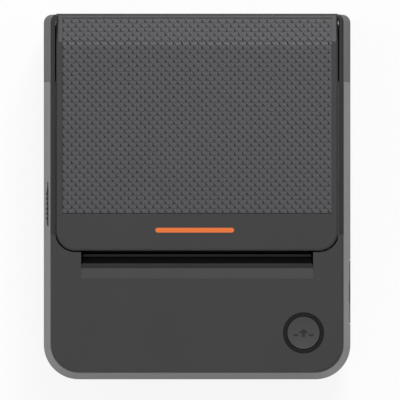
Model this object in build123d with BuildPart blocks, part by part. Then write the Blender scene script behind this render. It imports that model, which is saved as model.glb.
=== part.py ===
from build123d import *
from math import acos, atan2, cos, degrees, hypot, pi, radians, sin, sqrt, tan
import os

os.makedirs("parts", exist_ok=True)

# Overall size of the closed printer, standing on its feet
body_width = 111.0
body_depth = 132.0
body_height = 58.0
foot_height = 1.0
half_width = body_width / 2
half_depth = body_depth / 2

# Casing: lower tray, drafted case walls above it, and the dark top panel
upper_height = 32.0
panel_drop = 0.8
panel_thickness = 2.2
panel_edge = 0.7
side_lean = 2.6
wall = 2.2
tray_floor = 1.8
tray_taper = 3.0
tray_edge = 3.0
front_corner = 12.6
front_corner_loss = 2.1
rear_corner = 3.0
part_gap = 0.2
seam_height = body_height - upper_height
panel_top = body_height - panel_drop
rim_height = panel_top - panel_thickness
lean_rate = side_lean / (rim_height - seam_height)
rim_half_width = half_width - side_lean

# Lid
front_length = 46.6
lid_gap = 0.45
lid_corner = 6.8
lid_edge_round = 0.9
lid_thickness = 2.2
lid_skirt = 1.5
lid_skirt_height = 8.0
slope_length = 10.1
lid_rear_drop = 4.4
lid_rear_round = 1.2
lid_rear_wall = 2.0
rear_wall_height = 17.5
inner_plate = 0.9
texture_side = 2.2
texture_setback = 13.4
texture_rear_edge = 1.5
texture_depth = 0.45
strip_width = 1.75
lid_width = body_width - 2 * (side_lean + strip_width + lid_gap)
lid_half_width = lid_width / 2
lid_front = -half_depth + front_length
lid_under = body_height - lid_thickness
lid_skirt_bottom = body_height - lid_skirt_height
lid_crease = half_depth - slope_length
lid_rear_wall_bottom = body_height - rear_wall_height
texture_half_width = lid_half_width - texture_side
texture_front = lid_front + texture_setback
texture_rear = half_depth - texture_rear_edge

# Hinge shoulders behind the case walls, and the dark strips beside the lid
shoulder_length = 24.4
shoulder_inset = 0.12
shoulder_foot_thickness = 2.5
strip_setback = 6.0
strip_edge = 0.8
strip_peg = 1.0
strip_peg_inset = 7.5
shoulder_start = half_depth - shoulder_length
strip_start = lid_front + strip_setback
strip_top = panel_top - part_gap
strip_inner = lid_half_width + lid_gap
strip_middle = (strip_start + shoulder_start) / 2
strip_peg_ys = (strip_start + strip_peg_inset, strip_middle, shoulder_start - strip_peg_inset)

# Lid hinge
hinge_inset = 4.0
hinge_drop = 22.0
hinge_arm_width = 4.2
hinge_pin_diameter = 3.0
pin_clearance = 0.05
hinge_y = half_depth - hinge_inset
hinge_z = body_height - hinge_drop
hinge_radius = hinge_inset

# Paper slot and tear bar
slot_side = 8.95
slot_setback = 4.9
paper_play = 3.5
scoop_length = 5.0
scoop_depth = 0.5
bar_width = 1.3
bar_thickness = 0.9
tooth_pitch = 0.7
tooth_height = 0.45
slot_width = lid_width - 2 * slot_side
slot_front = lid_front - slot_setback
paper_width = slot_width - paper_play

# Platen and print head
platen_radius = 6.0
platen_shaft = 4.0
platen_setback = 4.9
platen_drop = 10.5
bush_diameter = 8.0
bracket_width = 1.6
frame_plate = 1.4
head_gap = 0.15
head_plate = 0.85
sink_thickness = 3.0
head_pivot_drop = 11.0
head_pin_diameter = 3.0
head_rise = 5.5
platen_y = lid_front + platen_setback
platen_z = body_height - platen_drop
head_pivot_z = platen_z - head_pivot_drop
head_top = platen_z + head_rise

# Mechanism frame round the platen
frame_front_reach = 5.7
frame_rear_reach = 17.5
frame_base_thickness = 1.4
frame_wall = 1.2
end_gap = 1.6
frame_front = slot_front - frame_front_reach
frame_rear = platen_y + frame_rear_reach
frame_base = seam_height

# Paper roll cradle, between the frame and the rear wall
cradle_wall = 1.5
cradle_frame_gap = 2.5
cradle_rear_gap = 5.5
cradle_lid_gap = 0.7
cradle_front_drop = 9.2
cradle_rear_drop = 14.2
cradle_side_gap = 0.2
cradle_outer = (half_depth - cradle_rear_gap - frame_rear - cradle_frame_gap) / 2
cradle_radius = cradle_outer - cradle_wall
cradle_y = half_depth - cradle_rear_gap - cradle_outer
cradle_z = foot_height + tray_floor + part_gap + cradle_outer
cradle_top = lid_under - inner_plate - cradle_lid_gap
cradle_front_top = cradle_top - cradle_front_drop
cradle_rear_top = cradle_top - cradle_rear_drop
cradle_half = slot_width / 2 - cradle_side_gap
frame_inner = cradle_half + cradle_wall + end_gap
frame_outer = frame_inner + frame_plate
bracket_inner = paper_width / 2 + 1.0
bracket_outer = bracket_inner + bracket_width

# Drive gears and motor
gear_module = 0.5
gear_face = 1.8
gear_gap = 0.3
gear_side_gap = 0.6
gear_backlash = 0.08
platen_teeth = 24
idler_teeth = 20
reduction_large_teeth = 24
reduction_small_teeth = 10
motor_teeth = 10
gear_axle = 2.0
motor_shaft = 1.5
motor_reach = 13.3
motor_drop = 11.9
motor_diameter = 13.0
motor_length = 22.0
motor_y = platen_y + motor_reach
motor_z = platen_z - motor_drop
gear_plane_a = frame_outer + gear_side_gap
gear_plane_b = gear_plane_a + gear_face + gear_gap

# Lid release
latch_reach = 2.5
latch_drop = 14.5
latch_bar = 5.0
hook_gap = 0.4
hook_width = 1.2
lever_length = 10.0
lever_width = 4.8
lever_thickness = 1.6
peg_diameter = 2.4
release_travel = 1.8
release_slot_height = 5.6
release_play = 0.4
knob_setback = 0.8
knob_length = 13.0
knob_proud = 0.4
latch_y = platen_y + latch_reach
latch_z = platen_z - latch_drop
hook_inner = bracket_outer + hook_gap
peg_z = latch_z + lever_length
release_z = peg_z + 1.0
release_slot_front = latch_y + peg_diameter / 2 + part_gap
knob_front = release_slot_front + knob_setback
release_slot_rear = knob_front + knob_length + release_travel + release_play

# Feed button, its key board and switch
feed_side = 17.2
feed_setback = 17.1
feed_diameter = 11.8
feed_ring_diameter = 14.5
feed_gap = 0.15
feed_travel = 0.5
feed_flange = 0.7
dish_radius = 58.0
dish_depth = 0.35
cap_edge = 0.4
key_board_drop = 6.0
key_board_depth = 12.0
key_board_left = 14.0
key_board_right = 12.4
key_screw = 1.8
key_boss = 4.0
key_boss_inset = 3.0
key_boss_right_inset = 2.0
feed_x = half_width - feed_side
feed_y = -half_depth + feed_setback
key_board_height = rim_height - key_board_drop

# Sockets and their cover on the right wall
port_setback = 20.0
port_length = 23.3
port_below = 8.4
port_above = 5.6
flap_gap = 0.25
flap_pin = 0.8
flap_pin_inset = 0.9
flap_pin_rise = 1.3
port_front = -half_depth + port_setback
port_rear = port_front + port_length
port_middle = (port_front + port_rear) / 2
port_bottom = seam_height - port_below
port_top = seam_height + port_above

# Power switch on the right wall
power_rear_reach = 44.0
power_below = 8.0
power_travel = 2.0
power_knob_length = 3.7
power_knob_height = 2.8
power_play = 0.3
power_y = half_depth - power_rear_reach
power_z = seam_height - power_below
power_slot = power_knob_length + power_travel + 2.5 * power_play

# Battery bay and door
bay_side = 16.5
bay_setback = 6.5
bay_length = 44.0
bay_wall = 1.5
door_gap = 0.25
door_pin = 1.2
battery_play = 6.0
battery_headroom = 2.4
battery_lift = 0.3
battery_edge = 3.0
bay_half_width = half_width - bay_side
bay_front = -half_depth + bay_setback
bay_rear = bay_front + bay_length
bay_roof = seam_height
battery_length = 2 * bay_half_width - battery_play
battery_width = bay_length - battery_play
battery_height = bay_roof - bay_wall - foot_height - tray_floor - battery_lift - battery_headroom

# Boards
board_side = 13.5
board_setback = 6.0
board_gap = 1.5
board_lift = 4.0
board_thickness = 1.6
board_left = -half_width + board_side
board_right = half_width - board_side
board_front = -half_depth + board_setback
board_rear = frame_front - board_gap
board_middle = (board_front + board_rear) / 2
board_height = seam_height + board_lift
board_top = board_height + board_thickness
standoff_xs = (board_left + 6.0, board_right - 12.0)
standoff_ys = (board_front + 4.0, board_rear - 4.5)

# Fasteners, bosses and feet
screw_diameter = 2.6
screw_play = 0.4
screw_head = 4.6
screw_head_height = 1.6
screw_recess = 2.5
boss_radius = 3.0
corner_reach = 6.6
corner_boss = 3.5
boss_rise = 10.0
ear_reach = 3.2
ear_thickness = 2.0
foot_diameter = 9.0
foot_recess = 0.8
foot_play = 0.3
foot_side = 11.0
corner_x = half_width - front_corner + corner_reach * cos(radians(45))
corner_y = -half_depth + front_corner - corner_reach * cos(radians(45))
side_boss_x = half_width - wall - boss_radius
side_boss_y = cradle_y + 1.0
boss_top = seam_height + boss_rise
cradle_ear_x = cradle_half + cradle_wall + ear_reach
cradle_ear_ys = (cradle_y - 19.0, cradle_y + 7.0)
ear_top = seam_height
shoulder_foot_x = lid_half_width - 2.3
shoulder_foot_y = half_depth - 12.0
foot_x = half_width - foot_side
foot_ys = (-half_depth + 22.0, half_depth - 15.0)


def wall_x(z):
    """Half width of the case's outside at a height above the seam."""
    return half_width - lean_rate * (z - seam_height)


def tray_x(z):
    """Half width of the tray's outside at a height below the seam."""
    return half_width - tan(radians(tray_taper)) * (seam_height - z)


def casing_section(z, inset):
    """Plan section of the case at a height: leaning front and sides, upright rear."""
    share = (z - seam_height) / (rim_height - seam_height)
    lean = side_lean * share
    width = body_width - 2 * (lean + inset)
    front = -half_depth + lean + inset
    rear = half_depth - inset
    with BuildSketch(Plane.XY.offset(z)) as section:
        with Locations((0, (front + rear) / 2)):
            Rectangle(width, rear - front)
        fillet(section.vertices().group_by(Axis.Y)[0], front_corner - front_corner_loss * share - inset)
        fillet(section.vertices().group_by(Axis.Y)[-1], max(rear_corner - inset, 0.6))
    return section.sketch


def block(x0, x1, y0, y1, z0, z1, mode=Mode.ADD):
    """Box between two corners."""
    with Locations(((x0 + x1) / 2, (y0 + y1) / 2, (z0 + z1) / 2)):
        Box(abs(x1 - x0), abs(y1 - y0), abs(z1 - z0), mode=mode)


def room(x0, x1, y0, y1, z0, z1):
    """Box cut away between two corners."""
    block(x0, x1, y0, y1, z0, z1, mode=Mode.SUBTRACT)


def rod(x0, x1, y, z, diameter, mode=Mode.ADD):
    """Cylinder along X between two stations."""
    with Locations(Location(((x0 + x1) / 2, y, z), (0, 90, 0))):
        Cylinder(diameter / 2, abs(x1 - x0), mode=mode)


def bore(x0, x1, y, z, diameter):
    """Round hole along X between two stations."""
    rod(x0, x1, y, z, diameter, mode=Mode.SUBTRACT)


def post(x, y, z0, z1, diameter, mode=Mode.ADD):
    """Upright cylinder between two heights."""
    with Locations((x, y, (z0 + z1) / 2)):
        Cylinder(diameter / 2, abs(z1 - z0), mode=mode)


def hole(x, y, z0, z1, diameter):
    """Upright round hole between two heights."""
    post(x, y, z0, z1, diameter, mode=Mode.SUBTRACT)


def finish(piece, name):
    """Name a piece and write it."""
    piece.part.label = name
    export_step(piece.part, f"parts/{name}.step")


# Places that follow from the tray's drafted walls
bay_outer_x = bay_half_width + bay_wall
bay_outer_front = bay_front - bay_wall
bay_outer_rear = bay_rear + bay_wall
door_pin_y = bay_rear - door_gap - tray_floor / 2
door_pin_z = foot_height + tray_floor / 2
flap_axis_x = tray_x(port_bottom) - flap_pin_inset
flap_axis_z = port_bottom + flap_pin_rise
power_face = tray_x(power_z)

# Lower tray with floor, battery bay, bosses and rear sill
with BuildPart() as bottom_case:
    with BuildSketch(Plane.XY.offset(seam_height)) as tray_outline:
        Rectangle(body_width, body_depth)
        fillet(tray_outline.vertices().group_by(Axis.Y)[0], front_corner)
        fillet(tray_outline.vertices().group_by(Axis.Y)[-1], rear_corner)
    extrude(amount=-(seam_height - foot_height), taper=tray_taper)
    fillet(bottom_case.faces().sort_by(Axis.Z)[0].edges(), tray_edge)
    with BuildSketch(Plane.XY.offset(seam_height)) as tray_hollow:
        Rectangle(body_width - 2 * wall, body_depth - 2 * wall)
        fillet(tray_hollow.vertices().group_by(Axis.Y)[0], front_corner - wall)
        fillet(tray_hollow.vertices().group_by(Axis.Y)[-1], rear_corner - wall)
    extrude(amount=-(seam_height - foot_height - tray_floor), taper=tray_taper, mode=Mode.SUBTRACT)
    block(-strip_inner, strip_inner, half_depth - wall, half_depth, seam_height - 0.5, hinge_z - 5.2)
    block(-bay_outer_x, bay_outer_x, bay_outer_front, bay_outer_rear, foot_height + 0.2, bay_roof)
    room(
        -bay_half_width,
        bay_half_width,
        bay_front,
        bay_rear,
        foot_height - 1,
        bay_roof - bay_wall,
    )
    bore(
        -bay_half_width - 1,
        bay_half_width + 1,
        door_pin_y,
        door_pin_z,
        door_pin + 2 * pin_clearance,
    )
    for side in (-1, 1):
        post(side * corner_x, corner_y, foot_height + 0.5, seam_height, 2 * corner_boss)
        post(side * side_boss_x, side_boss_y, foot_height + 0.5, seam_height, 2 * boss_radius)
        post(side * shoulder_foot_x, shoulder_foot_y, foot_height + 0.5, seam_height, 2 * boss_radius)
        for ear_y in cradle_ear_ys:
            post(side * cradle_ear_x, ear_y, foot_height + 0.5, ear_top - ear_thickness, 2 * boss_radius)
    for standoff_x in standoff_xs:
        for standoff_y in standoff_ys:
            post(standoff_x, standoff_y, bay_roof - 0.5, board_height, 2 * boss_radius)
    for side in (-1, 1):
        for boss_x, boss_y in ((corner_x, corner_y), (side_boss_x, side_boss_y)):
            hole(side * boss_x, boss_y, foot_height - 1, seam_height + 1, screw_diameter + screw_play)
            hole(side * boss_x, boss_y, foot_height - 1, foot_height + screw_recess, screw_head + 0.6)
        hole(side * shoulder_foot_x, shoulder_foot_y, seam_height - 9, seam_height + 1, screw_diameter)
        for ear_y in cradle_ear_ys:
            hole(side * cradle_ear_x, ear_y, ear_top - 11, ear_top, screw_diameter)
        for foot_y in foot_ys:
            hole(side * foot_x, foot_y, foot_height - 1, foot_height + foot_recess, foot_diameter + foot_play)
    for standoff_x in standoff_xs:
        for standoff_y in standoff_ys:
            hole(standoff_x, standoff_y, board_height - 4, board_height + 1, screw_diameter)
    room(half_width - 4, half_width + 1, port_front, port_rear, port_bottom, seam_height + 1)
    with Locations(Location((flap_axis_x, port_middle, flap_axis_z), (90, 0, 0))):
        Cylinder(flap_pin / 2 + pin_clearance, port_rear - port_front + 1.8, mode=Mode.SUBTRACT)
    room(
        half_width - 4,
        half_width + 1,
        power_y - power_slot / 2,
        power_y + power_slot / 2,
        power_z - power_knob_height / 2 - 0.2,
        power_z + power_knob_height / 2 + 0.2,
    )
finish(bottom_case, "bottom_case")

# Case walls above the seam, open at the rear for the lid
with BuildPart() as main_case:
    loft(sections=[casing_section(seam_height, 0), casing_section(rim_height, 0)], ruled=True)
    loft(
        sections=[casing_section(seam_height, wall), casing_section(rim_height, wall)],
        ruled=True,
        mode=Mode.SUBTRACT,
    )
    room(-half_width, half_width, shoulder_start, half_depth + 1, seam_height - 1, rim_height + 1)
    for side in (-1, 1):
        post(side * corner_x, corner_y, seam_height, boss_top, 2 * corner_boss)
        post(side * side_boss_x, side_boss_y, seam_height, boss_top, 2 * boss_radius)
        hole(side * corner_x, corner_y, seam_height - 1, boss_top - 2, screw_diameter)
        hole(side * side_boss_x, side_boss_y, seam_height - 1, boss_top - 2, screw_diameter)
    room(
        -half_width,
        -half_width + 6,
        release_slot_front,
        release_slot_rear,
        release_z - release_slot_height / 2,
        release_z + release_slot_height / 2,
    )
    room(half_width - 6, half_width + 1, port_front, port_rear, seam_height - 1, port_top)
finish(main_case, "main_case")

# Hinge shoulders that close the rear corners and carry the lid's pins
pin_outer = wall_x(hinge_z) - 1.2
for side, side_name in ((-1, "left"), (1, "right")):
    with BuildPart() as shoulder:
        loft(
            sections=[casing_section(z, shoulder_inset) for z in (seam_height, rim_height)],
            ruled=True,
        )
        with Locations((0, 0, body_height / 2)):
            Box(2 * strip_inner, 2 * body_depth, 2 * body_height, mode=Mode.SUBTRACT)
        room(-half_width, half_width, -half_depth - 1, shoulder_start + 0.1, 0, body_height)
        room(0, -side * body_width, -half_depth, half_depth + 1, 0, body_height)
        block(
            side * (shoulder_foot_x - boss_radius),
            side * (strip_inner + 0.5),
            shoulder_foot_y - 4,
            shoulder_foot_y + 4,
            seam_height,
            seam_height + shoulder_foot_thickness,
        )
        bore(side * (strip_inner - 1), side * pin_outer, hinge_y, hinge_z, hinge_pin_diameter)
        hole(
            side * shoulder_foot_x,
            shoulder_foot_y,
            seam_height - 1,
            seam_height + 4,
            screw_diameter + screw_play,
        )
    finish(shoulder, f"shoulder_{side_name}")

# Steel pins that the lid turns on, pressed into the shoulders
pin_inner = lid_half_width - hinge_arm_width
with BuildPart() as hinge_pins:
    for side in (-1, 1):
        rod(side * pin_inner, side * pin_outer, hinge_y, hinge_z, hinge_pin_diameter)
finish(hinge_pins, "hinge_pins")

# Dark strips along the case's side rims, beside the lid, on three pegs each
strip_peg_x = rim_half_width - wall / 2 + 0.1
for side, side_name in ((-1, "left"), (1, "right")):
    with BuildPart() as side_strip:
        loft(
            sections=[casing_section(rim_height, 0), casing_section(strip_top, 0)],
            ruled=True,
        )
        room(-strip_inner, strip_inner, -body_depth, body_depth, 0, 2 * body_height)
        room(-half_width, half_width, -body_depth, strip_start + 0.15, 0, 2 * body_height)
        room(0, -side * body_width, -body_depth, body_depth, 0, 2 * body_height)
        outer_edges = side_strip.edges().filter_by(Axis.Y, tolerance=6).group_by(Axis.Z)[-1]
        fillet(outer_edges.sort_by(Axis.X)[-1 if side > 0 else 0], strip_edge)
        for peg_y in strip_peg_ys:
            post(side * strip_peg_x, peg_y, rim_height - 2, rim_height + 0.5, strip_peg)
    finish(side_strip, f"side_strip_{side_name}")
with BuildPart() as peg_holes:
    for side in (-1, 1):
        for peg_y in strip_peg_ys:
            post(side * strip_peg_x, peg_y, rim_height - 2.3, rim_height + 1, strip_peg + 0.1)
main_case.part = main_case.part - peg_holes.part
finish(main_case, "main_case")

# Dark top panel in front of the lid, with slot, scoop and button hole
key_boss_xs = (feed_x - key_board_left + key_boss_inset, feed_x + key_board_right - key_boss_right_inset)
with BuildPart() as front_panel:
    loft(
        sections=[casing_section(rim_height, 0.05), casing_section(panel_top, 0.05)],
        ruled=True,
    )
    fillet(front_panel.faces().sort_by(Axis.Z)[-1].edges(), panel_edge)
    with BuildSketch(Plane.XY.offset(rim_height - 1)) as lid_cut:
        with Locations((0, (lid_front - lid_gap + body_depth) / 2)):
            Rectangle(2 * strip_inner, body_depth - lid_front + lid_gap)
        fillet(lid_cut.vertices().group_by(Axis.Y)[0], lid_corner + lid_gap)
    extrude(amount=6, mode=Mode.SUBTRACT)
    room(-half_width, half_width, strip_start, body_depth, 0, 2 * body_height)
    room(-slot_width / 2, slot_width / 2, slot_front, lid_front + 2, rim_height - 1, panel_top + 1)
    with BuildSketch(Plane.YZ.offset(-slot_width / 2)):
        with BuildLine():
            Polyline(
                (slot_front - scoop_length, panel_top),
                (slot_front + 0.1, panel_top - scoop_depth),
                (slot_front + 0.1, panel_top + 1),
                (slot_front - scoop_length, panel_top + 1),
                close=True,
            )
        make_face()
    extrude(amount=slot_width, mode=Mode.SUBTRACT)
    room(
        -slot_width / 2,
        slot_width / 2,
        slot_front - bar_width,
        slot_front + 0.1,
        panel_top - scoop_depth - bar_thickness,
        panel_top + 1,
    )
    hole(feed_x, feed_y, rim_height - 1, panel_top + 1, feed_ring_diameter + 2 * feed_gap)
    for boss_x in key_boss_xs:
        post(boss_x, feed_y, key_board_height + board_thickness, rim_height + 0.5, key_boss)
        hole(boss_x, feed_y, key_board_height - 1, rim_height + 0.5, key_screw)
finish(front_panel, "front_panel")

# Steel tear bar with a fine row of teeth along the slot
bar_half = slot_width / 2 - 0.1
bar_top = panel_top - scoop_depth + 0.15
teeth = int((2 * bar_half - 0.4) / tooth_pitch)
teeth_start = -teeth * tooth_pitch / 2
bar_points = [(-bar_half, slot_front - bar_width + 0.05), (-bar_half, slot_front)]
for i in range(teeth):
    start = teeth_start + i * tooth_pitch
    bar_points.append((start, slot_front))
    bar_points.append((start + tooth_pitch / 2, slot_front + tooth_height))
bar_points.append((-teeth_start, slot_front))
bar_points.append((bar_half, slot_front))
bar_points.append((bar_half, slot_front - bar_width + 0.05))
with BuildPart() as tear_bar:
    with BuildSketch(Plane.XY.offset(bar_top - bar_thickness - 0.15)):
        with BuildLine():
            Polyline(*bar_points, close=True)
        make_face()
    extrude(amount=bar_thickness + 0.15)
finish(tear_bar, "tear_bar")

# Ring round the feed button, held under the panel by its flange
with BuildPart() as feed_ring:
    post(feed_x, feed_y, rim_height - 0.8, panel_top - 0.05, feed_ring_diameter)
    post(feed_x, feed_y, rim_height - 0.8, rim_height, feed_ring_diameter + 2.0)
    hole(feed_x, feed_y, rim_height - 2, panel_top + 1, feed_diameter + 2 * feed_gap)
finish(feed_ring, "feed_ring")

# Feed button: dished cap with a retaining flange and a stem down to the switch
with BuildPart() as feed_button:
    post(feed_x, feed_y, rim_height - 1.6, panel_top, feed_diameter)
    post(feed_x, feed_y, rim_height - 1.6, rim_height - 0.9, feed_diameter + 2 * feed_flange)
    fillet(feed_button.faces().sort_by(Axis.Z)[-1].edges(), cap_edge)
    with Locations((feed_x, feed_y, panel_top + dish_radius - dish_depth)):
        Sphere(dish_radius, mode=Mode.SUBTRACT)
finish(feed_button, "feed_button")

# Key board under the panel and its tact switch
with BuildPart() as key_board:
    block(
        feed_x - key_board_left,
        feed_x + key_board_right,
        feed_y - key_board_depth / 2,
        feed_y + key_board_depth / 2,
        key_board_height,
        key_board_height + board_thickness,
    )
    for boss_x in key_boss_xs:
        hole(boss_x, feed_y, key_board_height - 1, key_board_height + 3, key_screw + 0.2)
finish(key_board, "key_board")
switch_top = rim_height - 1.6 - feed_travel - 0.1
with BuildPart() as tact_switch:
    block(
        feed_x - 3,
        feed_x + 3,
        feed_y - 3,
        feed_y + 3,
        key_board_height + board_thickness,
        switch_top - 0.7,
    )
    post(feed_x, feed_y, switch_top - 0.8, switch_top, 3.4)
finish(tact_switch, "tact_switch")

# Small screws that hold the key board to the panel
with BuildPart() as board_screws:
    for boss_x in key_boss_xs:
        post(boss_x, feed_y, key_board_height - 1.2, key_board_height, 2 * key_screw - 0.2)
        post(boss_x, feed_y, key_board_height - 0.5, key_board_height + 5, key_screw)
finish(board_screws, "board_screws")

# Cradle for the paper roll: half round trough with end walls and ears
with BuildPart() as paper_tub:
    with BuildSketch(Plane.YZ.offset(-cradle_half - cradle_wall)) as tub_side:
        with BuildLine():
            Line((cradle_y - cradle_outer, cradle_front_top), (cradle_y - cradle_outer, cradle_z))
            RadiusArc((cradle_y - cradle_outer, cradle_z), (cradle_y + cradle_outer, cradle_z), -cradle_outer)
            Polyline(
                (cradle_y + cradle_outer, cradle_z),
                (cradle_y + cradle_outer, cradle_rear_top),
                (cradle_y + cradle_outer - cradle_wall, cradle_rear_top),
                (cradle_y + cradle_outer - cradle_wall - 3, cradle_top),
                (cradle_y - cradle_outer + cradle_wall + 3, cradle_top),
                (cradle_y - cradle_outer, cradle_front_top),
            )
        make_face()
    extrude(amount=2 * (cradle_half + cradle_wall))
    with BuildSketch(Plane.YZ.offset(-cradle_half)) as tub_room:
        with Locations((cradle_y, cradle_z)):
            Circle(cradle_radius)
        with Locations((cradle_y, cradle_z + body_height / 2)):
            Rectangle(2 * cradle_radius, body_height)
    extrude(amount=2 * cradle_half, mode=Mode.SUBTRACT)
    for side in (-1, 1):
        for ear_y in cradle_ear_ys:
            block(
                side * (cradle_half + cradle_wall - 0.5),
                side * (cradle_ear_x + boss_radius),
                ear_y - boss_radius,
                ear_y + boss_radius,
                ear_top - ear_thickness,
                ear_top,
            )
            hole(side * cradle_ear_x, ear_y, ear_top - 5, ear_top + 1, screw_diameter + screw_play)
finish(paper_tub, "paper_tub")

# Lid: outer cover with sloped rear, front corners, skirt, rear wall and hinge arms
rear_top_z = body_height - lid_rear_drop
with BuildPart() as lid_room:
    with BuildSketch(Plane.YZ.offset(-lid_half_width + lid_skirt)):
        with BuildLine():
            Polyline(
                (lid_front + lid_skirt, lid_skirt_bottom - 1),
                (lid_front + lid_skirt, lid_under),
                (lid_crease, lid_under),
                (half_depth - lid_rear_wall, rear_top_z - lid_thickness + 0.3),
                (half_depth - lid_rear_wall, lid_skirt_bottom - 1),
                close=True,
            )
        make_face()
    extrude(amount=lid_width - 2 * lid_skirt)
    fillet(lid_room.edges().filter_by(Axis.Z).group_by(Axis.Y)[0], lid_corner - lid_skirt)
with BuildPart() as lid_cover:
    with BuildSketch(Plane.YZ.offset(-lid_half_width)) as lid_side:
        with BuildLine():
            Polyline(
                (lid_front, lid_skirt_bottom),
                (lid_front, body_height),
                (lid_crease, body_height),
                (half_depth, rear_top_z),
                (half_depth, lid_skirt_bottom),
                close=True,
            )
        make_face()
        fillet(lid_side.vertices().sort_by(Axis.X)[-2:].sort_by(Axis.Y)[-1], lid_rear_round)
    extrude(amount=lid_width)
    fillet(lid_cover.edges().filter_by(Axis.Z).group_by(Axis.Y)[0], lid_corner)
    top_edges = lid_cover.faces().sort_by(Axis.Z)[-1].edges()
    top_edges = [edge for edge in top_edges if edge.center().Y < lid_crease - 0.5]
    slope_edges = lid_cover.edges().filter_by_position(Axis.Z, rear_top_z + 1, body_height - 0.5)
    slope_edges = [edge for edge in slope_edges if edge.center().Y > lid_crease and edge.length > 4]
    fillet(top_edges + slope_edges, lid_edge_round)
    add(lid_room.part, mode=Mode.SUBTRACT)
    room(
        -lid_half_width + lid_skirt + 0.3,
        lid_half_width - lid_skirt - 0.3,
        lid_front - 1,
        platen_y + platen_radius,
        lid_skirt_bottom - 1,
        platen_z + platen_radius + 0.7,
    )
    block(
        -lid_half_width,
        lid_half_width,
        half_depth - lid_rear_wall,
        half_depth,
        lid_rear_wall_bottom,
        lid_skirt_bottom + 0.5,
    )
    for side in (-1, 1):
        block(
            side * (lid_half_width - hinge_arm_width),
            side * lid_half_width,
            hinge_y - hinge_radius,
            half_depth,
            hinge_z,
            lid_skirt_bottom + 2,
        )
        arm_inner = lid_half_width - hinge_arm_width
        rod(side * arm_inner, side * lid_half_width, hinge_y, hinge_z, 2 * hinge_radius)
        bore(
            side * (lid_half_width - hinge_arm_width - 1),
            side * (lid_half_width + 1),
            hinge_y,
            hinge_z,
            hinge_pin_diameter + 2 * pin_clearance,
        )
    room(
        -texture_half_width,
        texture_half_width,
        texture_front,
        lid_crease,
        body_height - texture_depth,
        body_height + 1,
    )
    with BuildSketch(Plane.YZ.offset(-texture_half_width)):
        with BuildLine():
            slope = (body_height - rear_top_z) / (half_depth - lid_crease)
            Polyline(
                (lid_crease - 0.5, body_height - texture_depth),
                (lid_crease, body_height - texture_depth),
                (texture_rear, body_height - texture_depth - slope * (texture_rear - lid_crease)),
                (texture_rear, body_height + 1),
                (lid_crease - 0.5, body_height + 1),
                close=True,
            )
        make_face()
    extrude(amount=2 * texture_half_width, mode=Mode.SUBTRACT)
finish(lid_cover, "lid_cover")

# Inner frame of the lid with the two brackets that carry the platen
with BuildPart() as lid_frame:
    block(
        -lid_half_width + lid_skirt + 0.1,
        lid_half_width - lid_skirt - 0.1,
        lid_front + lid_corner,
        lid_crease - 4,
        lid_under - inner_plate,
        lid_under,
    )
    block(
        -bracket_outer,
        bracket_outer,
        lid_front + lid_skirt + 0.1,
        lid_front + lid_corner + 1,
        lid_under - inner_plate,
        lid_under,
    )
    for side in (-1, 1):
        block(
            side * bracket_inner,
            side * bracket_outer,
            platen_y - 3.2,
            platen_y + 3.2,
            platen_z,
            lid_under - inner_plate / 2,
        )
        rod(side * bracket_inner, side * bracket_outer, platen_y, platen_z, bush_diameter)
        bore(
            side * (bracket_inner - 1),
            side * (bracket_outer + 1),
            platen_y,
            platen_z,
            platen_shaft + 2 * pin_clearance,
        )
finish(lid_frame, "lid_frame")

# Platen: rubber roller on a steel shaft with its drive gear and two bushes
shaft_left = -frame_outer - 0.3
shaft_right = gear_plane_a + gear_face
with BuildPart() as platen_shaft_piece:
    rod(shaft_left, shaft_right, platen_y, platen_z, platen_shaft)
finish(platen_shaft_piece, "platen_shaft")
with BuildPart() as platen_rubber:
    rod(-paper_width / 2 - 0.3, paper_width / 2 + 0.3, platen_y, platen_z, 2 * platen_radius)
    bore(-paper_width / 2 - 1, paper_width / 2 + 1, platen_y, platen_z, platen_shaft)
finish(platen_rubber, "platen_rubber")
with BuildPart() as platen_bushes:
    for side in (-1, 1):
        rod(side * (frame_inner - 0.1), side * (frame_outer + 0.2), platen_y, platen_z, bush_diameter)
        bore(
            side * (frame_inner - 1),
            side * (frame_outer + 1),
            platen_y,
            platen_z,
            platen_shaft + 2 * pin_clearance,
        )
finish(platen_bushes, "platen_bushes")

# Gear centres: the idler lies straight below the path on which the platen lifts out
lift_angle = atan2(platen_z - hinge_z, hinge_y - platen_y)
platen_pitch = gear_module * platen_teeth / 2
idler_pitch = gear_module * idler_teeth / 2
large_pitch = gear_module * reduction_large_teeth / 2
small_pitch = gear_module * reduction_small_teeth / 2
motor_pitch = gear_module * motor_teeth / 2
idler_y = platen_y - (platen_pitch + idler_pitch) * sin(lift_angle)
idler_z = platen_z - (platen_pitch + idler_pitch) * cos(lift_angle)
train_y = motor_y - idler_y
train_z = motor_z - idler_z
train = hypot(train_y, train_z)
near = idler_pitch + small_pitch
far = motor_pitch + large_pitch
along = (near**2 - far**2 + train**2) / (2 * train)
across = sqrt(near**2 - along**2)
reduction_y = idler_y + (along * train_y - across * train_z) / train
reduction_z = idler_z + (along * train_z + across * train_y) / train


def gear_phase(y0, z0, pitch0, phase0, y1, z1, pitch1):
    """Phase of the second gear whose teeth fill the first gear's spaces."""
    toward = atan2(z1 - z0, y1 - y0)
    half_space = pi * gear_module / 2
    return toward + pi - ((phase0 - toward) * pitch0 + half_space) / pitch1


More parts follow.
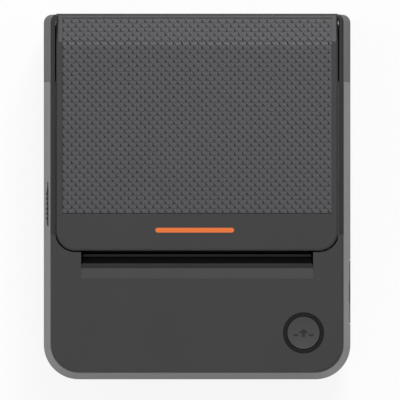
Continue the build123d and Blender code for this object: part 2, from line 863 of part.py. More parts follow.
def gear_outline(tooth_count, phase):
    """Plan of an involute gear, thinned by the backlash."""
    pitch = gear_module * tooth_count / 2
    base = pitch * cos(radians(20))
    tip = pitch + 0.9 * gear_module
    root = pitch - 1.2 * gear_module
    start = max(base, root + 0.05)
    half_tooth = pi / (2 * tooth_count) - gear_backlash / (2 * pitch)
    at_pitch = tan(radians(20)) - radians(20)
    points = []
    for i in range(tooth_count):
        centre = phase + 2 * pi * i / tooth_count
        flank = []
        for radius in (start, (start + pitch) / 2, pitch, (pitch + tip) / 2, tip):
            pressure = acos(min(1, base / radius))
            spread = half_tooth + at_pitch - (tan(pressure) - pressure)
            flank.append((radius, spread))
        points.append((root, centre - flank[0][1] - 0.02))
        points += [(radius, centre - spread) for radius, spread in flank]
        points += [(radius, centre + spread) for radius, spread in reversed(flank)]
        points.append((root, centre + flank[0][1] + 0.02))
    return [(radius * cos(angle), radius * sin(angle)) for radius, angle in points]


def gear(tooth_count, phase, x0, face, y, z):
    """Gear blank with teeth, its axis along X."""
    with BuildSketch(Plane(origin=(x0, y, z), x_dir=(0, 1, 0), z_dir=(1, 0, 0))) as blank:
        with BuildLine():
            Polyline(*gear_outline(tooth_count, phase), close=True)
        make_face()
    extrude(blank.sketch, amount=face)


platen_phase = 0.0
idler_phase = gear_phase(platen_y, platen_z, platen_pitch, platen_phase, idler_y, idler_z, idler_pitch)
small_phase = gear_phase(idler_y, idler_z, idler_pitch, idler_phase, reduction_y, reduction_z, small_pitch)
large_phase = 0.1
motor_phase = gear_phase(reduction_y, reduction_z, large_pitch, large_phase, motor_y, motor_z, motor_pitch)
with BuildPart() as platen_gear:
    gear(platen_teeth, platen_phase, gear_plane_a, gear_face, platen_y, platen_z)
    bore(gear_plane_a - 1, gear_plane_a + 5, platen_y, platen_z, platen_shaft)
finish(platen_gear, "platen_gear")
with BuildPart() as idler_gear:
    gear(idler_teeth, idler_phase, gear_plane_a, gear_face, idler_y, idler_z)
    bore(gear_plane_a - 1, gear_plane_a + 5, idler_y, idler_z, gear_axle + 2 * pin_clearance)
finish(idler_gear, "idler_gear")
with BuildPart() as reduction_gear:
    gear(reduction_small_teeth, small_phase, gear_plane_a, gear_face + gear_gap, reduction_y, reduction_z)
    gear(reduction_large_teeth, large_phase, gear_plane_b, gear_face, reduction_y, reduction_z)
    bore(gear_plane_a - 1, gear_plane_b + 5, reduction_y, reduction_z, gear_axle + 2 * pin_clearance)
finish(reduction_gear, "reduction_gear")
with BuildPart() as motor_pinion:
    gear(motor_teeth, motor_phase, gear_plane_b, gear_face, motor_y, motor_z)
    rod(frame_inner - 3, gear_plane_b + gear_face, motor_y, motor_z, motor_shaft)
finish(motor_pinion, "motor_pinion")

# Stepping motor with its flange against the right side plate
with BuildPart() as motor:
    rod(frame_inner - 0.8 - motor_length, frame_inner - 0.8, motor_y, motor_z, motor_diameter)
    rod(frame_inner - 0.8, frame_inner, motor_y, motor_z, motor_diameter)
    bore(frame_inner - 4, frame_inner + 1, motor_y, motor_z, motor_shaft + 2 * pin_clearance)
finish(motor, "motor")

# Printer mechanism frame: base, two slotted side plates, front wall and paper guide
plate_top = platen_z + 3.5
guide_radius = platen_radius + 0.7
head_pivot_y = slot_front + 1.3
spring_x = 22.0
spring_z = platen_z + 1
with BuildPart() as mechanism_frame:
    block(-frame_outer, frame_outer, frame_front, frame_rear, frame_base, frame_base + frame_base_thickness)
    for side in (-1, 1):
        with BuildSketch(Plane.YZ.offset(side * (frame_inner + frame_plate / 2))):
            with BuildLine():
                Polyline(
                    (frame_front, frame_base),
                    (frame_front, head_top - 2),
                    (frame_front + 3, plate_top),
                    (platen_y + 9, plate_top),
                    (frame_rear, plate_top - 8),
                    (frame_rear, frame_base),
                    close=True,
                )
            make_face()
        extrude(amount=frame_plate / 2, both=True)
    block(-frame_outer, frame_outer, frame_front, frame_front + frame_wall, frame_base, head_top - 2)
    with BuildSketch(Plane.YZ.offset(-paper_width / 2)):
        with BuildLine():
            Polyline(
                (platen_y + 8.5, platen_z - 1),
                (platen_y + 8.5, platen_z - 4.5),
                (platen_y + 3, platen_z - 8.4),
                (platen_y - 3, platen_z - 8.4),
                (platen_y - 3, platen_z - 1),
                close=True,
            )
        make_face()
        with Locations((platen_y, platen_z)):
            Circle(guide_radius, mode=Mode.SUBTRACT)
    extrude(amount=paper_width)
    for side in (-1, 1):
        block(
            side * (paper_width / 2 - 0.5),
            side * (frame_inner + 0.2),
            platen_y - 2.5,
            platen_y + 2.0,
            platen_z - 8.4,
            platen_z - 7.0,
        )
    slot_plane = Plane(
        origin=(0, platen_y, platen_z),
        x_dir=(0, cos(lift_angle), -sin(lift_angle)),
        z_dir=(1, 0, 0),
    )
    with BuildSketch(slot_plane):
        Circle(bush_diameter / 2 + 0.1)
        with Locations((0, 10)):
            Rectangle(bush_diameter + 0.2, 20)
    extrude(amount=frame_outer + 1, both=True, mode=Mode.SUBTRACT)
    bore(-frame_outer - 1, frame_outer + 1, latch_y, latch_z, platen_shaft + 2 * pin_clearance)
    bore(
        -frame_outer - 1,
        frame_outer + 1,
        head_pivot_y,
        head_pivot_z,
        head_pin_diameter + 2 * pin_clearance,
    )
    bore(frame_inner - 0.5, frame_outer + 1, motor_y, motor_z, motor_shaft + 1.0)
    rod(frame_outer - 0.2, gear_plane_a + gear_face + 0.2, idler_y, idler_z, gear_axle)
    rod(frame_outer - 0.2, gear_plane_b + gear_face, reduction_y, reduction_z, gear_axle)
    for peg_x in (-spring_x, spring_x):
        with Locations(Location((peg_x, frame_front + frame_wall + 1, spring_z), (90, 0, 0))):
            Cylinder(1.1, 2.4)
finish(mechanism_frame, "mechanism_frame")

# Springs that press the head on the paper, seated on the frame's pegs
spring_start = frame_front + frame_wall
spring_length = slot_front - spring_start - 0.7
with BuildPart() as head_springs:
    for peg_x in (-spring_x, spring_x):
        with Locations(Location((peg_x, spring_start + spring_length / 2, spring_z), (90, 0, 0))):
            Cylinder(2.0, spring_length)
            Cylinder(1.35, spring_length + 1, mode=Mode.SUBTRACT)
finish(head_springs, "head_springs")

# Print head: ceramic plate on a heat sink that pivots at its foot
head_face = platen_y - platen_radius - head_gap
head_back = head_face - head_plate
sink_back = head_back - sink_thickness
with BuildPart() as print_head:
    block(-cradle_half + 0.5, cradle_half - 0.5, head_back, head_face, platen_z - 4.5, platen_z + 4.5)
finish(print_head, "print_head")
with BuildPart() as heat_sink:
    block(-cradle_half + 0.3, cradle_half - 0.3, sink_back, head_back, head_pivot_z, head_top)
    rod(-frame_outer + 0.1, frame_outer - 0.1, head_pivot_y, head_pivot_z, head_pin_diameter)
finish(heat_sink, "heat_sink")

# Latch: cross bar with two hooks that close over the platen shaft
hook_under = platen_z + platen_shaft / 2 + 0.15
with BuildPart() as latch_bar_piece:
    rod(-frame_inner + 0.1, frame_inner - 0.1, latch_y, latch_z, latch_bar)
    rod(-frame_outer - 2.2, frame_outer, latch_y, latch_z, platen_shaft)
    for side in (-1, 1):
        with BuildSketch(Plane.YZ.offset(side * (hook_inner + hook_width / 2))):
            with BuildLine():
                Polyline(
                    (latch_y - 1.8, latch_z),
                    (latch_y + 1.0, platen_z - 5),
                    (latch_y + 0.4, hook_under),
                    (platen_y - 0.4, hook_under),
                    (platen_y + 0.8, hook_under + 2.0),
                    (latch_y + 3.4, hook_under + 1.6),
                    (latch_y + 3.8, platen_z - 5),
                    (latch_y + 2.4, latch_z),
                    close=True,
                )
            make_face()
        extrude(amount=hook_width / 2, both=True)
finish(latch_bar_piece, "latch_bar")
lever_x = -frame_outer - 0.3
with BuildPart() as latch_lever:
    rod(lever_x - lever_thickness, lever_x, latch_y, latch_z, platen_shaft + 3.0)
    block(
        lever_x - lever_thickness,
        lever_x,
        latch_y - lever_width / 2,
        latch_y + lever_width / 2,
        latch_z,
        peg_z + 2.2,
    )
    bore(lever_x - 3, lever_x + 1, latch_y, latch_z, platen_shaft)
    room(
        lever_x - 3,
        lever_x + 1,
        latch_y - peg_diameter / 2 - 0.1,
        latch_y + peg_diameter / 2 + 0.1,
        peg_z - 1.6,
        peg_z + 5,
    )
finish(latch_lever, "latch_lever")

# Release slider in the left wall: knob, guide plate behind the wall, peg to the lever
plate_top_z = release_z + release_slot_height / 2 + 1.4
plate_x = -wall_x(plate_top_z) + wall + 0.2
with BuildPart() as release_knob:
    loft(
        sections=[casing_section(seam_height, -knob_proud), casing_section(rim_height, -knob_proud)],
        ruled=True,
    )
    with Locations((-half_width, knob_front + knob_length / 2, release_z)):
        Box(9.0, knob_length, release_slot_height - 0.6, mode=Mode.INTERSECT)
    block(
        plate_x,
        plate_x + 1.0,
        knob_front - 3.0,
        knob_front + knob_length + release_travel + 2.0,
        release_z - release_slot_height / 2 - 1.6,
        plate_top_z,
    )
    rod(lever_x - 1.4, plate_x + 0.5, latch_y, peg_z, peg_diameter)
finish(release_knob, "release_knob")

# Main board on its standoffs, with chips and sockets
with BuildPart() as main_board:
    block(board_left, board_right, board_front, board_rear, board_height, board_top)
    tongue_right = wall_x(board_height) - wall - 0.5
    block(board_right - 1, tongue_right, port_front + 0.5, board_rear, board_height, board_top)
    block(frame_outer + 0.4, tongue_right, board_rear - 1, port_rear - 1.8, board_height, board_top)
    for standoff_x in standoff_xs:
        for standoff_y in standoff_ys:
            hole(standoff_x, standoff_y, board_height - 1, board_top + 1, screw_diameter + screw_play)
finish(main_board, "main_board")
chips = (
    (-17.0, 0.75, 14.0, 14.0, 1.2),
    (6.0, -4.25, 8.0, 8.0, 1.0),
    (16.5, 4.75, 5.0, 6.0, 1.4),
    (-4.0, 6.75, 4.0, 6.0, 0.9),
)
capacitor_xs = (board_right - 24.0, board_right - 18.0)
with BuildPart() as board_chips:
    for chip_x, chip_y, chip_width, chip_depth, chip_height in chips:
        with Locations((chip_x, board_middle + chip_y, board_top + chip_height / 2)):
            Box(chip_width, chip_depth, chip_height)
    for cap_x in capacitor_xs:
        post(cap_x, board_front + 8.0, board_top, board_top + 7.0, 5.0)
finish(board_chips, "board_chips")
buzzer_x = board_left + 9.0
buzzer_y = board_front + 13.0
with BuildPart() as buzzer:
    post(buzzer_x, buzzer_y, board_top, board_top + 6.0, 9.5)
    hole(buzzer_x, buzzer_y, board_top + 2, board_top + 7, 1.6)
finish(buzzer, "buzzer")

# Sockets under the board's edge: a small data socket and a round power inlet
socket_face = flap_axis_x - flap_pin / 2 - 0.3
usb_y = port_front + 16.0
usb_width = 9.0
usb_height = 3.2
usb_length = 7.3
usb_wall = 0.3
with BuildPart() as usb_socket:
    block(
        socket_face - usb_length,
        socket_face,
        usb_y - usb_width / 2,
        usb_y + usb_width / 2,
        board_height - usb_height,
        board_height,
    )
    fillet(usb_socket.edges().filter_by(Axis.X), 1.2)
    with BuildSketch(Plane.YZ.offset(socket_face)):
        with Locations((usb_y, board_height - usb_height / 2)):
            RectangleRounded(usb_width - 2 * usb_wall, usb_height - 2 * usb_wall, 1.1)
    extrude(amount=-5.5, mode=Mode.SUBTRACT)
    with Locations((socket_face - 3.6, usb_y, board_height - usb_height / 2)):
        Box(4.8, 6.4, 0.7)
finish(usb_socket, "usb_socket")
inlet_y = port_front + 5.5
inlet_z = board_height - 5.2
inlet_width = 9.0
inlet_length = 12.4
inlet_bore = 5.6
inlet_pin = 2.0
with BuildPart() as dc_socket:
    block(
        socket_face - inlet_length,
        socket_face,
        inlet_y - inlet_width / 2,
        inlet_y + inlet_width / 2,
        board_height - 10.5,
        board_height,
    )
    bore(socket_face - 9.5, socket_face + 1, inlet_y, inlet_z, inlet_bore)
    rod(socket_face - 10, socket_face - 1.5, inlet_y, inlet_z, inlet_pin)
finish(dc_socket, "dc_socket")

# Rubber cover over the sockets, hinged on pins at its lower edge
with BuildPart() as port_cover:
    loft(
        sections=[casing_section(seam_height, 0), casing_section(rim_height, 0)],
        ruled=True,
    )
    with BuildSketch(Plane.XY.offset(seam_height)) as cover_tray:
        Rectangle(body_width, body_depth)
        fillet(cover_tray.vertices().group_by(Axis.Y)[0], front_corner)
        fillet(cover_tray.vertices().group_by(Axis.Y)[-1], rear_corner)
    extrude(amount=-(seam_height - foot_height), taper=tray_taper)
    cover_front = port_front + flap_gap
    cover_rear = port_rear - flap_gap
    with Locations((half_width, port_middle, (port_bottom + 0.5 + port_top - flap_gap) / 2)):
        Box(
            2 * (half_width - flap_axis_x + flap_pin / 2),
            cover_rear - cover_front,
            port_top - flap_gap - port_bottom - 0.5,
            mode=Mode.INTERSECT,
        )
    chamfer(port_cover.edges().filter_by(Axis.Y).group_by(Axis.Z)[0].sort_by(Axis.X)[-1], 0.5)
    with Locations(Location((flap_axis_x, port_middle, flap_axis_z), (90, 0, 0))):
        Cylinder(flap_pin / 2, cover_rear - cover_front + 1.8)
finish(port_cover, "port_cover")

# Power switch body inside the right wall and its sliding knob
switch_face = power_face - wall
with BuildPart() as power_switch:
    block(
        switch_face - 5.4,
        switch_face - 0.6,
        power_y - power_slot / 2 - 1.8,
        power_y + power_slot / 2 + 1.8,
        power_z - 3,
        power_z + 3,
    )
    room(
        switch_face - 2.4,
        switch_face,
        power_y - power_slot / 2 - 0.8,
        power_y + power_slot / 2 + 0.8,
        power_z - power_knob_height / 2 - 0.4,
        power_z + power_knob_height / 2 + 0.4,
    )
finish(power_switch, "power_switch")
power_knob_start = power_y - power_slot / 2 + power_play
with BuildPart() as power_knob:
    block(
        switch_face - 1.9,
        power_face - 0.3,
        power_knob_start,
        power_knob_start + power_knob_length,
        power_z - power_knob_height / 2,
        power_z + power_knob_height / 2,
    )
finish(power_knob, "power_knob")

# Battery pack and its hinged door in the floor
battery_y = (bay_front + bay_rear) / 2
with BuildPart() as battery_pack:
    with Locations((0, battery_y, foot_height + tray_floor + battery_lift + battery_height / 2)):
        Box(battery_length, battery_width, battery_height)
    fillet(battery_pack.edges().filter_by(Axis.X), battery_edge)
finish(battery_pack, "battery_pack")
with BuildPart() as battery_door:
    block(
        -bay_half_width + door_gap,
        bay_half_width - door_gap,
        bay_front + door_gap,
        door_pin_y,
        foot_height,
        foot_height + tray_floor,
    )
    rod(-bay_half_width + door_gap, bay_half_width - door_gap, door_pin_y, door_pin_z, tray_floor)
    rod(-bay_half_width - 0.8, bay_half_width + 0.8, door_pin_y, door_pin_z, door_pin)
finish(battery_door, "battery_door")

# Rubber feet in their recesses
with BuildPart() as rubber_feet:
    for side in (-1, 1):
        for foot_y in foot_ys:
            post(side * foot_x, foot_y, 0, foot_height + foot_recess, foot_diameter)
finish(rubber_feet, "rubber_feet")

# Screws from below, into the cradle's ears, the shoulders and the board
with BuildPart() as case_screws:
    for side in (-1, 1):
        for boss_x, boss_y in ((corner_x, corner_y), (side_boss_x, side_boss_y)):
            recess_top = foot_height + screw_recess
            post(side * boss_x, boss_y, recess_top - screw_head_height, recess_top, screw_head)
            post(side * boss_x, boss_y, foot_height + 2, boss_top - 3, screw_diameter)
finish(case_screws, "case_screws")
with BuildPart() as inner_screws:
    for side in (-1, 1):
        for ear_y in cradle_ear_ys:
            post(side * cradle_ear_x, ear_y, ear_top, ear_top + screw_head_height, screw_head)
            post(side * cradle_ear_x, ear_y, ear_top - 10, ear_top + 0.5, screw_diameter)
        foot_top = seam_height + shoulder_foot_thickness
        post(side * shoulder_foot_x, shoulder_foot_y, foot_top, foot_top + screw_head_height, screw_head)
        post(side * shoulder_foot_x, shoulder_foot_y, foot_top - 10, foot_top + 0.5, screw_diameter)
    for standoff_x in standoff_xs:
        for standoff_y in standoff_ys:
            post(standoff_x, standoff_y, board_top, board_top + screw_head_height, screw_head)
            post(standoff_x, standoff_y, board_top - 5, board_top + 0.5, screw_diameter)
finish(inner_screws, "inner_screws")
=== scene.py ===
import math
import bpy
import bmesh
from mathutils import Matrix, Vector


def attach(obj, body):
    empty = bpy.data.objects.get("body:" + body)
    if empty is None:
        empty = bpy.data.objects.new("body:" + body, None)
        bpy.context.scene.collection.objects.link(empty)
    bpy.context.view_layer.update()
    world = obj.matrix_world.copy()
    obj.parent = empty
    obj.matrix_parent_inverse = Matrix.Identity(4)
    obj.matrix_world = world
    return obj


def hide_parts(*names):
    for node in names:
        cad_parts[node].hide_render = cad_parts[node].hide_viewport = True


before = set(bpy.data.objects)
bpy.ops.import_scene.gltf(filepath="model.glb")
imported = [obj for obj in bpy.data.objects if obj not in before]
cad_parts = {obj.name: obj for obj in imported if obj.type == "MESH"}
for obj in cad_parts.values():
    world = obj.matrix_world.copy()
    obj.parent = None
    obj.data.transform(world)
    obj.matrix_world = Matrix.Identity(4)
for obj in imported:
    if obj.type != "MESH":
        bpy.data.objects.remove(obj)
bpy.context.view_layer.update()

# Studio: a pale floor under the machine, soft light from all round and a key from the rear right,
# and a camera far above that sees the machine in plan.
photo_width = 0.1447
photo_centre = (0.00105, -0.0011)
photo_level = 0.03
camera_height = 5.0
sensor_width = 36.0
floor_size = 8.0
floor_level = -0.0002
floor_seen_share = 0.88
floor_gloss_share = 0.15
sky_strength = 0.36


class Socket:
    """A shader value that takes part in Python arithmetic."""

    def __init__(self, shade, link):
        self.shade, self.link = shade, link

    def math(self, operation, first, second=None):
        values = {0: first} if second is None else {0: first, 1: second}
        return self.shade.node("ShaderNodeMath", values, operation=operation)

    def __add__(self, other):
        return self.math("ADD", self, other)

    def __radd__(self, other):
        return self.math("ADD", other, self)

    def __sub__(self, other):
        return self.math("SUBTRACT", self, other)

    def __rsub__(self, other):
        return self.math("SUBTRACT", other, self)

    def __mul__(self, other):
        return self.math("MULTIPLY", self, other)

    def __gt__(self, other):
        return self.math("GREATER_THAN", self, other)

    def __lt__(self, other):
        return self.math("LESS_THAN", self, other)

    def __abs__(self):
        return self.math("ABSOLUTE", self)

    def above(self, floor):
        return self.math("MAXIMUM", self, floor)

    def below(self, ceiling):
        return self.math("MINIMUM", self, ceiling)

    def wave(self):
        return self.math("SINE", self)


class Shade:
    """One material and the nodes that make it."""

    def __init__(self, name):
        self.material = bpy.data.materials.new(name)
        self.material.use_nodes = True
        self.tree = self.material.node_tree
        self.surface = self.tree.nodes["Principled BSDF"]

    def node(self, kind, values=None, output=0, **settings):
        made = self.tree.nodes.new(kind)
        for name, setting in settings.items():
            setattr(made, name, setting)
        for name, value in (values or {}).items():
            if isinstance(value, Socket):
                self.tree.links.new(value.link, made.inputs[name])
            else:
                made.inputs[name].default_value = value
        return Socket(self, made.outputs[output])

    def place(self):
        return self.node("ShaderNodeTexCoord", output="Object")

    def axes(self):
        split = self.node("ShaderNodeSeparateXYZ", {0: self.place()}).link.node
        return [Socket(self, split.outputs[i]) for i in range(3)]

    def noise(self, per_metre, detail=2.0, roughness=0.5, vector=None):
        values = {
            "Vector": vector or self.place(),
            "Scale": per_metre,
            "Detail": detail,
            "Roughness": roughness,
        }
        return self.node("ShaderNodeTexNoise", values)

    def stretch(self, x, y, z):
        return self.node("ShaderNodeMapping", {"Vector": self.place(), "Scale": (x, y, z)})

    def mix(self, share, first, second):
        made = self.tree.nodes.new("ShaderNodeMix")
        made.data_type = "RGBA"
        for index, value in ((0, share), (6, first), (7, second)):
            if isinstance(value, Socket):
                self.tree.links.new(value.link, made.inputs[index])
            else:
                made.inputs[index].default_value = value if index == 0 else (*value, 1.0)
        return Socket(self, made.outputs[2])

    def bump(self, height, distance, strength):
        return self.node("ShaderNodeBump", {"Height": height, "Distance": distance, "Strength": strength})

    def set(self, **values):
        for name, value in values.items():
            name = name.replace("_", " ")
            if isinstance(value, Socket):
                self.tree.links.new(value.link, self.surface.inputs[name])
            else:
                self.surface.inputs[name].default_value = value


def dress(names, material):
    """Give CAD nodes their finish."""
    for name in names:
        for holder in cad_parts[name].material_slots:
            holder.material = material


def moulded(
    name,
    colour,
    gloss,
    grain=2600,
    relief=0.00004,
    mottle=0.10,
    print_colour=None,
    print_mask=None,
):
    """Injection-moulded plastic: spark-eroded grain, faint flow mottling, handling shine and any ink."""
    shade = Shade(name)
    pores = shade.noise(grain, 3.0, 0.6)
    flow = shade.noise(55, 3.0, 0.55)
    shine = shade.noise(24, 4.0, 0.6)
    low = tuple(value * (1 - mottle) for value in colour)
    high = tuple(value * (1 + mottle) for value in colour)
    tone = shade.mix(flow * 0.7 + pores * 0.3, low, high)
    if print_mask:
        inked = tuple(value * 0.9 for value in print_colour)
        tone = shade.mix(print_mask(shade), tone, shade.mix(flow, inked, print_colour))
    shade.set(
        Base_Color=tone,
        Roughness=(gloss - 0.06) + shine * 0.09 + pores * 0.05,
        Normal=shade.bump(pores, relief, 0.55),
    )
    shade.set(Specular_IOR_Level=0.42)
    return shade.material


floor_shade = Shade("studio_floor")
tint = floor_shade.mix(floor_shade.noise(3, 2.0), (0.80, 0.80, 0.80), (0.83, 0.83, 0.83))
floor_shade.set(Base_Color=tint, Roughness=0.9)
floor_shade.set(Specular_IOR_Level=0.1)
seen = floor_shade.node("ShaderNodeLightPath", output="Is Camera Ray")
glossed = floor_shade.node("ShaderNodeLightPath", output="Is Glossy Ray")
shadowless = floor_shade.node("ShaderNodeEmission", {"Color": (1, 1, 1, 1), "Strength": 1.0})
shown = floor_shade.node("ShaderNodeMixShader", {0: seen * floor_seen_share + glossed * floor_gloss_share})
floor_out = floor_shade.tree.nodes["Material Output"]
shown_node = shown.link.node
floor_shade.tree.links.new(floor_shade.surface.outputs[0], shown_node.inputs[1])
floor_shade.tree.links.new(shadowless.link, shown_node.inputs[2])
floor_shade.tree.links.new(shown_node.outputs[0], floor_out.inputs[0])
bpy.ops.object.select_all(action="DESELECT")
bpy.ops.mesh.primitive_plane_add(size=floor_size, location=(0, 0, floor_level))
floor = bpy.context.object
floor.name = "floor"
floor.data.materials.append(floor_shade.material)

for name, spot, aim, size, power in (
    ("key_light", (0.22, 0.96, 1.32), (0, 0, 0.05), 0.40, 18.4),
    ("side_light", (-1.35, 0.35, 1.55), (0, 0, 0), 1.0, 8.0),
    ("front_light", (-0.4, -1.6, 0.9), (0, 0, 0.02), 1.0, 6.0),
    ("right_light", (1.35, -0.5, 1.5), (0, 0, 0.02), 1.0, 1.4),
):
    lamp = bpy.data.lights.new(name, "AREA")
    lamp.size = size
    lamp.energy = power
    holder = bpy.data.objects.new(name, lamp)
    holder.location = spot
    holder.rotation_euler = (Vector(aim) - Vector(spot)).to_track_quat("-Z", "Y").to_euler()
    holder.visible_camera = False
    bpy.context.scene.collection.objects.link(holder)

world = bpy.data.worlds.new("studio")
world.use_nodes = True
bpy.context.scene.world = world
sky = world.node_tree.nodes["Background"]
sky.inputs["Color"].default_value = (1.0, 1.0, 1.0, 1.0)
sky_path = world.node_tree.nodes.new("ShaderNodeLightPath")
sky_level = world.node_tree.nodes.new("ShaderNodeMix")
sky_level.data_type = "FLOAT"
sky_level.inputs[2].default_value = sky_strength
sky_level.inputs[3].default_value = 1.0
world.node_tree.links.new(sky_path.outputs["Is Camera Ray"], sky_level.inputs[0])
world.node_tree.links.new(sky_level.outputs[0], sky.inputs["Strength"])

lens = bpy.data.cameras.new("plan_camera")
lens.sensor_width = sensor_width
lens.lens = sensor_width * (camera_height - photo_level) / photo_width
lens.clip_start = 0.01
lens.clip_end = 50.0
camera = bpy.data.objects.new("plan_camera", lens)
camera.location = (photo_centre[0], photo_centre[1], camera_height)
bpy.context.scene.collection.objects.link(camera)
bpy.context.scene.camera = camera
bpy.context.scene.view_settings.view_transform = "Standard"

# Case: the lower tray, the leaning walls above it and the battery door are one light grey plastic,
# moulded with a fine spark grain; the tray and the walls meet at the widest line.
case_grey = moulded("case_grey_plastic", (0.163, 0.163, 0.164), 0.52)
dress(["bottom_case", "main_case", "battery_door"], case_grey)

# Hinge shoulders: two darker grey blocks let into the rear corners, screwed to the tray,
# which hold the turned steel pins of the lid.
shoulder_grey = moulded("shoulder_grey_plastic", (0.030, 0.030, 0.031), 0.52)
dress(["shoulder_left", "shoulder_right"], shoulder_grey)


def turned_steel(name, colour, gloss, along):
    """Drawn or turned steel: fine lines along one axis and small bright rubs."""
    shade = Shade(name)
    scale = [2600.0, 2600.0, 2600.0]
    scale["XYZ".index(along)] = 60.0
    lines = shade.noise(1.0, 2.0, 0.6, vector=shade.stretch(*scale))
    rubs = shade.noise(180, 3.0)
    shade.set(
        Base_Color=shade.mix(lines * 0.6 + rubs * 0.4, tuple(v * 0.8 for v in colour), colour),
        Roughness=gloss + lines * 0.14 - rubs * 0.08,
        Normal=shade.bump(lines, 0.00001, 0.5),
    )
    shade.set(Metallic=1.0)
    return shade.material


dress(["hinge_pins"], turned_steel("pin_steel", (0.60, 0.60, 0.61), 0.26, "X"))

# Side strips: slim satin trims pegged along the rims beside the lid,
# a shade darker than the panel.
strip_black = moulded("strip_plastic", (0.0125, 0.0125, 0.0132), 0.46, grain=3200, relief=0.00003)
dress(["side_strip_left", "side_strip_right"], strip_black)

# Top panel: charcoal plastic with a satin grain,
# carrying the slot, the scoop and the button hole.
charcoal = (0.0290, 0.0290, 0.0300)
panel_plastic = moulded("panel_plastic", charcoal, 0.47, grain=3200, relief=0.00003)
dress(["front_panel"], panel_plastic)

# Tear bar: a thin steel strip with a black oxide finish,
# worn bright along its teeth.
tooth_line_y = -0.02432
wear_per_metre = 2600.0
tear = Shade("tear_bar_oxide")
tear_lines = tear.noise(1.0, 2.0, 0.6, vector=tear.stretch(90.0, 2600.0, 2600.0))
tear_edge = (tear.axes()[1] - tooth_line_y) * wear_per_metre
tear_wear = tear_edge.above(0.0).below(1.0) * tear.noise(900, 2.0)
tear.set(
    Base_Color=tear.mix(tear_wear, (0.034, 0.034, 0.036), (0.16, 0.16, 0.165)),
    Roughness=0.34 + tear_lines * 0.16,
    Normal=tear.bump(tear_lines, 0.00001, 0.5),
)
tear.set(Metallic=0.75)
dress(["tear_bar"], tear.material)

# Feed button: a dished satin cap with an inked feed mark,
# in a polished black ring.
button_x = 0.0383
button_y = -0.0489
mark_rise = 0.0015


def feed_mark(shade):
    """Plain feed mark: an arrow towards the slot between two short strokes."""
    x, y, z = shade.axes()
    across = abs(x - button_x)
    up = y - button_y
    head = (across < (mark_rise - up) * 1.15) * (up > -0.0001) * (up < mark_rise)
    stem = (across < 0.00055) * (up > -mark_rise) * (up < 0.0)
    strokes = (across > 0.0019) * (across < 0.0037) * (abs(up + 0.0008) < 0.00038)
    return (head + stem + strokes).below(1.0)


button_plastic = moulded(
    "button_plastic",
    (0.041, 0.041, 0.042),
    0.44,
    relief=0.00002,
    print_colour=(0.012, 0.012, 0.013),
    print_mask=feed_mark,
)
dress(["feed_button"], button_plastic)
gloss_black = moulded("ring_gloss", (0.006, 0.006, 0.0062), 0.16, grain=900, relief=0.000004)
dress(["feed_ring"], gloss_black)


# Boards: green solder mask over copper, with black epoxy packages,
# held down by zinc-plated screws.
via_colour = (0.42, 0.36, 0.20)
vias_per_metre = 520.0
via_share = 0.11


def circuit(name, mask_colour, trace_colour, pitch):
    """Solder mask over copper: straight traces under the lacquer and vias, with a faint roughness mottle.
    """
    shade = Shade(name)
    x, y, z = shade.axes()
    drift = shade.noise(120, 1.0)
    runs = ((x * pitch + drift * 7.0).wave() > 0.55) * (shade.noise(90, 0.0) > 0.5)
    cross = ((y * pitch * 0.8 + drift * 5.0).wave() > 0.62) * (shade.noise(70, 0.0) > 0.52)
    traces = (runs + cross).below(1.0)
    dots = shade.node("ShaderNodeTexVoronoi", {"Vector": shade.place(), "Scale": vias_per_metre})
    vias = dots < via_share
    copper = shade.mix(traces, mask_colour, trace_colour)
    shade.set(
        Base_Color=shade.mix(vias, copper, via_colour),
        Roughness=0.30 + shade.noise(400, 2.0) * 0.12,
        Normal=shade.bump(traces, 0.00003, 0.6),
    )
    return shade.material


green_board = circuit("green_circuit_board", (0.010, 0.070, 0.032), (0.022, 0.120, 0.055), 2400.0)
dress(["key_board", "main_board"], green_board)
package_black = moulded("package_epoxy", (0.020, 0.020, 0.021), 0.55, grain=4200, relief=0.00001)
dress(["tact_switch", "board_chips", "buzzer"], package_black)
screw_steel = turned_steel("screw_zinc", (0.50, 0.50, 0.52), 0.30, "Z")
dress(["board_screws", "case_screws", "inner_screws"], screw_steel)

# Paper cradle, mechanism frame and the lid's inner frame: one matt black plastic,
# with a coarser grain and stronger mottling than the outside.
inner_black = moulded("inner_plastic", (0.030, 0.030, 0.032), 0.58, grain=2000, relief=0.00005, mottle=0.16)
dress(["paper_tub", "mechanism_frame", "lid_frame"], inner_black)


# Head springs: two coil springs on the frame's pegs that press the head to the roller,
# wound along Y.
spring_side = 0.022
spring_start = -0.0288
spring_length = 0.0038
spring_height = 0.0485
spring_radius = 0.00168
spring_wire = 0.0006
spring_turns = 5
steps_per_turn = 20


def coil_spring(name, x):
    """Coil spring along Y, swept from a helix."""
    path = bpy.data.curves.new(name, "CURVE")
    path.dimensions = "3D"
    path.bevel_depth = spring_wire / 2
    path.bevel_resolution = 2
    line = path.splines.new("POLY")
    steps = int(spring_turns * steps_per_turn)
    line.points.add(steps)
    for i in range(steps + 1):
        share = i / steps
        angle = share * spring_turns * 2 * math.pi
        y = spring_start + spring_wire / 2 + share * (spring_length - spring_wire)
        z = spring_height + spring_radius * math.sin(angle)
        line.points[i].co = (x + spring_radius * math.cos(angle), y, z, 1.0)
    holder = bpy.data.objects.new(name, path)
    bpy.context.scene.collection.objects.link(holder)
    bpy.ops.object.select_all(action="DESELECT")
    holder.select_set(True)
    bpy.context.view_layer.objects.active = holder
    bpy.ops.object.convert(target="MESH")
    return bpy.context.object


coil_steel = turned_steel("spring_steel", (0.46, 0.46, 0.47), 0.28, "Y")
for label, spring_x in (("left", -spring_side), ("right", spring_side)):
    coil = coil_spring("head_spring_" + label, spring_x)
    coil.data.materials.append(coil_steel)
    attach(coil, "case")
    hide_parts("head_springs")
dress(["head_springs"], coil_steel)

